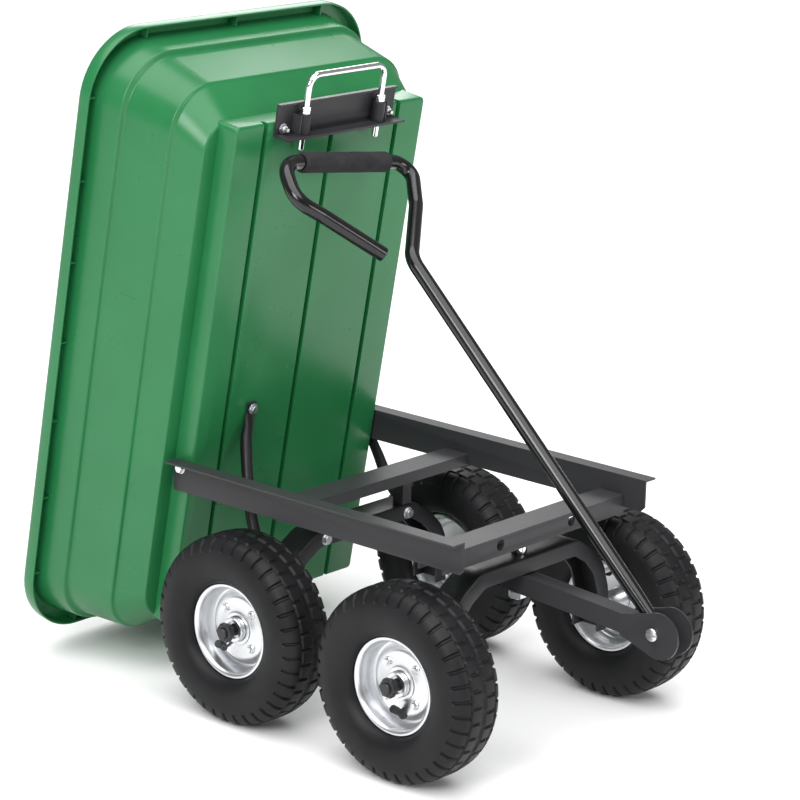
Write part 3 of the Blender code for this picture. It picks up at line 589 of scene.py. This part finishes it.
def make_beam(name, node, top_z, body, place):
    drop = top_z - 0.2515
    line = [(0.0, top_z), (0.100, top_z), (0.134, 0.2310 + drop), (0.1600, 0.2035 + drop * 0.8),
            (0.1725, 0.166),
            (0.1725, 0.108)]
    half = rounded_path([Vector((x, 0, z)) for x, z in line], 0.045, 9)[1:]
    path = [Vector((-p.x, 0, p.z)) for p in reversed(half)] + half
    section = beam_section()
    rings = []
    for i, point in enumerate(path):
        main = (path[min(i + 1, len(path) - 1)] - path[max(i - 1, 0)]).normalized()
        normal = Vector((main.z, 0, -main.x))
        rings.append([point + normal * depth + Vector((0, y, 0)) for y, depth in section])
    bm = bmesh.new()
    add_loft(bm, rings)
    object_from(bm, name, FRAME_BLACK, body, place, smooth=30, stand_for=(node,))


# ---------------------------------------------------------------- handle
HANDLE_LINE = ((0.0, -0.0119), (0.0005, 0.1302), (0.0050, 0.5893), (0.0860, 0.6649), (0.1232, 0.7136),
               (0.1083, 0.7359), (-0.1193, 0.7653), (-0.1421, 0.7076), (-0.1113, 0.6783), (-0.0443, 0.6043))
GRIP_NEAR = Vector((-0.0841, 0.7607, 0.0))
GRIP_FAR = Vector((0.0841, 0.7390, 0.0))
TUBE_R = 0.010
GRIP_R = 0.014


def make_handle():
    points = [Vector((u, v, 0)) for u, v in HANDLE_LINE]
    path = [points[0], Vector((0.0, 0.030, 0)), Vector((0.0001, 0.060, 0))] + rounded_path(points[1:], 0.034,
                                                                                           12)
    radii = [(TUBE_R, TUBE_R)] * len(path)
    radii[0] = radii[1] = (TUBE_R - 0.0015, TUBE_R - 0.0010)
    rings = sweep_rings(path, radii, 36, (1, 0, 0))
    # the cut end is open: fold the last ring in and run the bore back a little
    main = (path[-1] - path[-2]).normalized()
    for inset, back in ((0.0016, 0.0), (0.0018, 0.030)):
        shrink = (TUBE_R - inset) / TUBE_R
        rings.append([path[-1] - main * back + (p - path[-1]) * shrink for p in rings[len(path) - 1]])
    bm = bmesh.new()
    add_loft(bm, rings)
    object_from(bm, "handle_bent_tube", GLOSS_BLACK, "handle", HANDLE, smooth=50,
                stand_for=("handle_tube",))

    line = GRIP_FAR - GRIP_NEAR
    half = line.length / 2
    turn = Matrix.Rotation(math.atan2(line.y, line.x), 4, "Z")
    place = HANDLE @ Matrix.Translation((GRIP_NEAR + GRIP_FAR) / 2) @ turn
    profile = [(-half, 0.0112), (-half + 0.0006, 0.0130), (-half + 0.0020, 0.0138)]
    for k in range(31):
        t = k / 30
        swell = 0.0001 * math.cos(t * 2 * math.pi * 3)
        profile.append((-half + 0.004 + (2 * half - 0.008) * t, GRIP_R - 0.0001 + swell))
    profile += [(half - 0.0020, 0.0138), (half - 0.0006, 0.0130), (half, 0.0112), (half, 0.0102),
                (-half, 0.0102)]
    bm = bmesh.new()
    add_turned(bm, "X", profile, 40, ring=True)
    object_from(bm, "handle_foam_grip", FOAM, "handle", place, smooth=50,
                stand_for=("handle_grip",))


# ---------------------------------------------------------------- wheels
TRACK_X = 0.2203
AXLE_Z = 0.130
REAR_AXLE_Y = 0.288
LUGS = 38
LUG_STEPS = 10
TREAD_INNER_R = 0.1125
LUG_INNER_W = 0.0245
ROW_OUTER_W = 0.0215
ROW_INNER_W = 0.0025
GAP_SHARE = 0.18


def tyre_profile():
    """Half of the tyre's section as (across, radius) from the crown to the bead, evenly walked."""
    knots = ((0.0, 0.1300), (0.0150, 0.1297), (0.0270, 0.1277), (0.0350, 0.1225), (0.0405, 0.1130),
             (0.0432, 0.1010),
             (0.0433, 0.0900), (0.0408, 0.0790), (0.0350, 0.0700), (0.0290, 0.0660), (0.0258, 0.0652),
             (0.0258, 0.0595))
    points, radii = smooth_stations([((w, r, 0), 0, 0) for w, r in knots], 5)
    return [(p.x, p.y) for p in points]


def tread_depth(w, r, phase):
    """How far the surface lies below the full section: lugs on the shoulders, two brick rows between."""
    if r < TREAD_INNER_R:
        return 0.0
    edge = abs(w)
    if edge > LUG_INNER_W:
        return 0.0030 if phase % 1.0 < GAP_SHARE else 0.0
    if edge > ROW_OUTER_W:
        return 0.0028
    if edge > ROW_INNER_W:
        return 0.0026 if (phase + 0.5) % 1.0 < GAP_SHARE else 0.0
    return 0.0024


def tyre_mesh():
    half = tyre_profile()
    section = [(-w, r) for w, r in reversed(half)] + half[1:]
    steps = LUGS * LUG_STEPS
    bm = bmesh.new()
    rings = []
    for i, (w, r) in enumerate(section):
        before = section[max(i - 1, 0)]
        after = section[min(i + 1, len(section) - 1)]
        along = Vector((after[0] - before[0], after[1] - before[1])).normalized()
        inward = Vector((along.y, -along.x))
        if inward.y > 0 and abs(w) < 0.03:
            inward = -inward
        if inward.x * w > 0 and abs(w) >= 0.03:
            inward = -inward
        ring = []
        for k in range(steps):
            phase = k / LUG_STEPS + (0.5 if w < 0 else 0.0)
            depth = tread_depth(w, r, phase)
            angle = 2 * math.pi * k / steps
            rr = r + inward.y * depth
            ring.append((w + inward.x * depth, math.cos(angle) * rr, math.sin(angle) * rr))
        rings.append(ring)
    add_loft(bm, rings, closed_loop=True)
    mesh = mesh_from(bm, "tyre_with_tread", 38)
    mesh.materials.append(RUBBER)
    return mesh


def rim_bmesh(out):
    """Pressed rim; `out` is +1 or -1 for the side that faces away from the cart."""
    loop = [(-0.0262, 0.0590), (0.0256, 0.0590), (0.0262, 0.0600), (0.0264, 0.0640), (0.0272, 0.0645),
            (0.0282, 0.0643),
            (0.0285, 0.0632), (0.0282, 0.0612), (0.0262, 0.0590), (0.0225, 0.0572), (0.0120, 0.0560),
            (0.0040, 0.0552),
            (0.0016, 0.0540), (0.0010, 0.0515), (0.0030, 0.0480), (0.0068, 0.0462), (0.0086, 0.0440),
            (0.0092, 0.0400),
            (0.0092, 0.0245), (0.0098, 0.0228), (0.0120, 0.0222), (0.0124, 0.0210), (0.0122, 0.0178),
            (0.0070, 0.0178),
            (0.0070, 0.0400), (0.0050, 0.0445), (0.0004, 0.0475), (-0.0010, 0.0520), (0.0000, 0.0550),
            (-0.0100, 0.0562),
            (-0.0225, 0.0572), (-0.0282, 0.0612), (-0.0285, 0.0632), (-0.0282, 0.0643), (-0.0272, 0.0645),
            (-0.0264, 0.0640)]
    bm = bmesh.new()
    add_turned(bm, "X", [(out * w, r) for w, r in loop], 72, ring=True)
    for k in range(4):
        angle = math.radians(45 + 90 * k)
        centre = (0, math.cos(angle) * 0.0335, math.sin(angle) * 0.0335)
        dome = [(out * 0.0088, 0.0062), (out * 0.0104, 0.0060), (out * 0.0112, 0.0050)]
        add_turned(bm, "X", dome, 24, centre=centre)
        add_turned(bm, "X", [(out * 0.0112, 0.0040), (out * 0.0142, 0.0040), (out * 0.0146, 0.0036)], 24,
                   centre=centre, sides=6)
    return bm


def hub_bmesh(out):
    loop = [(-0.0300, 0.0158), (-0.0290, 0.0170), (0.0200, 0.0170), (0.0212, 0.0160), (0.0212, 0.0118),
            (0.0170, 0.0112),
            (0.0170, 0.0085), (-0.0300, 0.0085)]
    bm = bmesh.new()
    add_turned(bm, "X", [(out * w, r) for w, r in loop], 40, ring=True)
    return bm


def stem_bmesh(out, angle_deg):
    """Rubber valve stem that leans out of the dish towards the hub, with its cap."""
    angle = math.radians(angle_deg)
    radial = Vector((0, math.cos(angle), math.sin(angle)))
    axis_out = Vector((out, 0, 0))
    base = radial * 0.0420 + axis_out * 0.0075
    tip = radial * 0.0285 + axis_out * 0.0290
    main = (tip - base)
    spans = ((0.0, 0.0070), (0.10, 0.0066), (0.16, 0.0052), (0.55, 0.0046), (0.60, 0.0046), (0.61, 0.0054),
             (0.95, 0.0054), (1.0, 0.0045))
    points = [base + main * t for t, r in spans]
    bm = bmesh.new()
    add_loft(bm, sweep_rings(points, [(r, r) for t, r in spans], 24, (0, radial.z, -radial.y)))
    return bm


def make_wheels():
    tyre = tyre_mesh()
    wheels = (
        ("front_left", -1, 0.0, -95, "front_axle"), ("front_right", 1, 0.0, 60, "front_axle"),
        ("rear_left", -1, REAR_AXLE_Y, -50, "frame"), ("rear_right", 1, REAR_AXLE_Y, 120, "frame"),
    )
    for name, out, axle_y, stem_angle, axle_body in wheels:
        body = "wheel_" + name
        place = CART @ Matrix.Translation((out * TRACK_X, axle_y, AXLE_Z))
        spun = place @ turned(37 * (axle_y > 0) + 11 * out, "X")
        object_of_mesh(tyre.copy(), "tyre_treaded_" + name, RUBBER, body, spun,
                       stand_for=("tyre_" + name,))
        object_from(rim_bmesh(out), "rim_pressed_" + name, ZINC, body, place,
                    stand_for=("rim_" + name,))
        object_from(hub_bmesh(out), "hub_sleeve_" + name, ZINC, body, place,
                    stand_for=("hub_" + name,))
        object_from(stem_bmesh(out, stem_angle), "valve_" + name, VALVE, body, place,
                    stand_for=("valve_stem_" + name,))
        centre = CART @ Matrix.Translation((0, axle_y, AXLE_Z))
        bm = bmesh.new()
        tip = TRACK_X + 0.0425
        add_turned(bm, "X", [(out * 0.1729, 0.0080), (out * (tip - 0.0010), 0.0080), (out * tip, 0.0070)], 32)
        nut = [(tip - 0.0127, 0.0134), (tip - 0.0048, 0.0134), (tip - 0.0036, 0.0122)]
        add_turned(bm, "X", [(out * w, r) for w, r in nut], 48, sides=6)
        object_from(bm, "spindle_turned_" + name, BLACK_CAP, axle_body, centre,
                    stand_for=("spindle_" + name, "axle_nut_" + name))


# ---------------------------------------------------------------- fasteners on the frame
def make_fasteners():
    for name, side in SIDES:
        bm = bmesh.new()
        add_bolt_head(bm, "X", side * 0.19115, side, PIVOT_CLOSED, 0.0066, 0.0046, 0.0080)
        add_turned(bm, "X", [(side * 0.1725, 0.0049), (side * 0.1910, 0.0049)], 24, centre=PIVOT_CLOSED)
        object_from(bm, "pivot_bolt_detail_" + name, ZINC, "frame", CART,
                    stand_for=("pivot_bolt_" + name,))
        bm = bmesh.new()
        add_bolt_head(bm, "Y", 0.26585, -1, (side * 0.084, 0, 0.2265), 0.0068, 0.0046, 0.0085)
        object_from(bm, "rear_axle_bolt_detail_" + name, ZINC, "frame", CART,
                    stand_for=("rear_axle_bolt_" + name,))
    bm = bmesh.new()
    add_turned(bm, "Z",
               [(0.2518, 0.0098), (0.2524, 0.0104), (0.2610, 0.0104), (0.2616, 0.0092), (0.2700, 0.0092),
                         (0.2706, 0.0104), (0.2900, 0.0104), (0.2930, 0.0100), (0.2930, 0.0072),
                         (0.2518, 0.0072)], 36,
               ring=True)
    object_from(bm, "kingpin_collar_detail", CHROME, "frame", CART,
                stand_for=("kingpin_collar",))
    bm = bmesh.new()
    add_turned(bm, "X", [(-0.0221, 0.0060), (-0.0217, 0.0078), (-0.0205, 0.0087), (-0.0176, 0.0087)], 40)
    slot = object_from(bm, "clevis_bolt_detail", ZINC, None, Matrix.Translation(CLEVIS))
    tool = bmesh.new()
    add_box(tool, (-0.0240, -0.0100, -0.0009), (-0.0206, 0.0100, 0.0009))
    cut(slot, tool, Matrix.Translation(CLEVIS), "slot_cut")
    shade(slot.data, 35)
    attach(slot, "front_axle")
    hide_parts("clevis_bolt")


def make_brace():
    stations = (
        ((0.1955, 0.4405, 0.2880), 0.0036, 0.0090), ((0.1955, 0.4330, 0.2740), 0.0036, 0.0090),
        ((0.1890, 0.4150, 0.2575), 0.0066, 0.0086), ((0.1765, 0.3900, 0.2390), 0.0083, 0.0083),
        ((0.1665, 0.3600, 0.2170), 0.0083, 0.0083), ((0.1625, 0.3320, 0.1960), 0.0083, 0.0083),
        ((0.1615, 0.3205, 0.1870), 0.0083, 0.0083),
    )
    points, radii = smooth_stations(stations, 6)
    bm = bmesh.new()
    add_loft(bm, sweep_rings(points, radii, 28, (1, 0, 0)))
    object_from(bm, "rear_brace_tube", FRAME_BLACK, "frame", CART, smooth=50,
                stand_for=("rear_brace_right",))


# ---------------------------------------------------------------- CAD nodes that keep their shape
def dress_cad_nodes():
    looks = {"zinc": ("pivot_nut_left", "pivot_nut_right", "kingpin", "kingpin_nut", "clevis_nut"),
             "black": ("rail_left", "rail_right", "front_crossmember", "mid_crossmember",
                       "rear_axle_post_left",
                       "rear_axle_post_right", "tongue", "clevis", "latch_bracket")}
    for name in looks["zinc"] + looks["black"]:
        obj = nodes[name]
        obj.data.materials.clear()
        obj.data.materials.append(ZINC if name in looks["zinc"] else FRAME_BLACK)
        soft = obj.modifiers.new("soft_edges", "BEVEL")
        soft.width = 0.0007
        soft.segments = 2
        soft.limit_method = "ANGLE"
        soft.angle_limit = math.radians(40)
        soft.harden_normals = True


# ---------------------------------------------------------------- studio
def make_studio():
    bm = bmesh.new()
    size = 14.0
    corners = [(-size, -size), (size, -size), (size, size), (-size, size)]
    bm.faces.new([bm.verts.new((x, y, 0.0)) for x, y in corners])
    mesh = bpy.data.meshes.new("floor")
    bm.to_mesh(mesh)
    bm.free()
    mesh.materials.append(FLOOR)
    floor = link("floor", mesh)

    world = bpy.data.worlds.new("studio")
    bpy.context.scene.world = world
    world.use_nodes = True
    background = world.node_tree.nodes["Background"]
    background.inputs["Color"].default_value = (1.0, 1.0, 1.0, 1)
    background.inputs["Strength"].default_value = 0.30

    data = bpy.data.lights.new("overhead", "SUN")
    data.energy = 3.9
    data.angle = math.radians(75)
    lamp = link("overhead", data)
    lamp.rotation_euler = Vector((0.22, 0.16, -1.0)).to_track_quat("-Z", "Y").to_euler()

    lamps = (("key", (-3.4, -1.0, 2.2), 1.5, 75.0), ("front", (0.8, -4.2, 1.6), 1.6, 45.0),
             ("rim_light", (2.6, 2.6, 2.6), 1.6, 40.0))
    for name, place, size, power in lamps:
        data = bpy.data.lights.new(name, "AREA")
        data.shape = "SQUARE"
        data.size = size
        data.energy = power
        lamp = link(name, data)
        lamp.location = place
        lamp.rotation_euler = (Vector((0, 0.05, 0.4)) - Vector(place)).to_track_quat("-Z", "Y").to_euler()
    bpy.context.scene.view_settings.view_transform = "Standard"


CAMERA_PLACE = (-2.9597, -2.3369 + SHIFT_Y, 1.4952)


def make_camera():
    data = bpy.data.cameras.new("camera")
    data.sensor_width = 36.0
    data.lens = 135.72
    data.shift_x = 0.0198
    data.clip_end = 100.0
    camera = link("camera", data)
    right = Vector((0.6619, -0.7493, 0.0249))
    up = Vector((0.1838, 0.1944, 0.9636))
    ahead = Vector((0.7268, 0.6331, -0.2664))
    turn = Matrix((right, up, -ahead)).transposed().to_4x4()
    camera.matrix_world = Matrix.Translation(CAMERA_PLACE) @ turn
    bpy.context.scene.camera = camera


make_camera()
make_studio()
make_tub()
make_latch()
make_strut()
make_beam("rear_axle_arch", "rear_axle_beam", 0.239, "frame", CART @ Matrix.Translation((0, REAR_AXLE_Y, 0)))
make_beam("front_axle_arch", "front_axle_beam", 0.2515, "front_axle", CART)
make_handle()
make_wheels()
make_fasteners()
make_brace()
dress_cad_nodes()
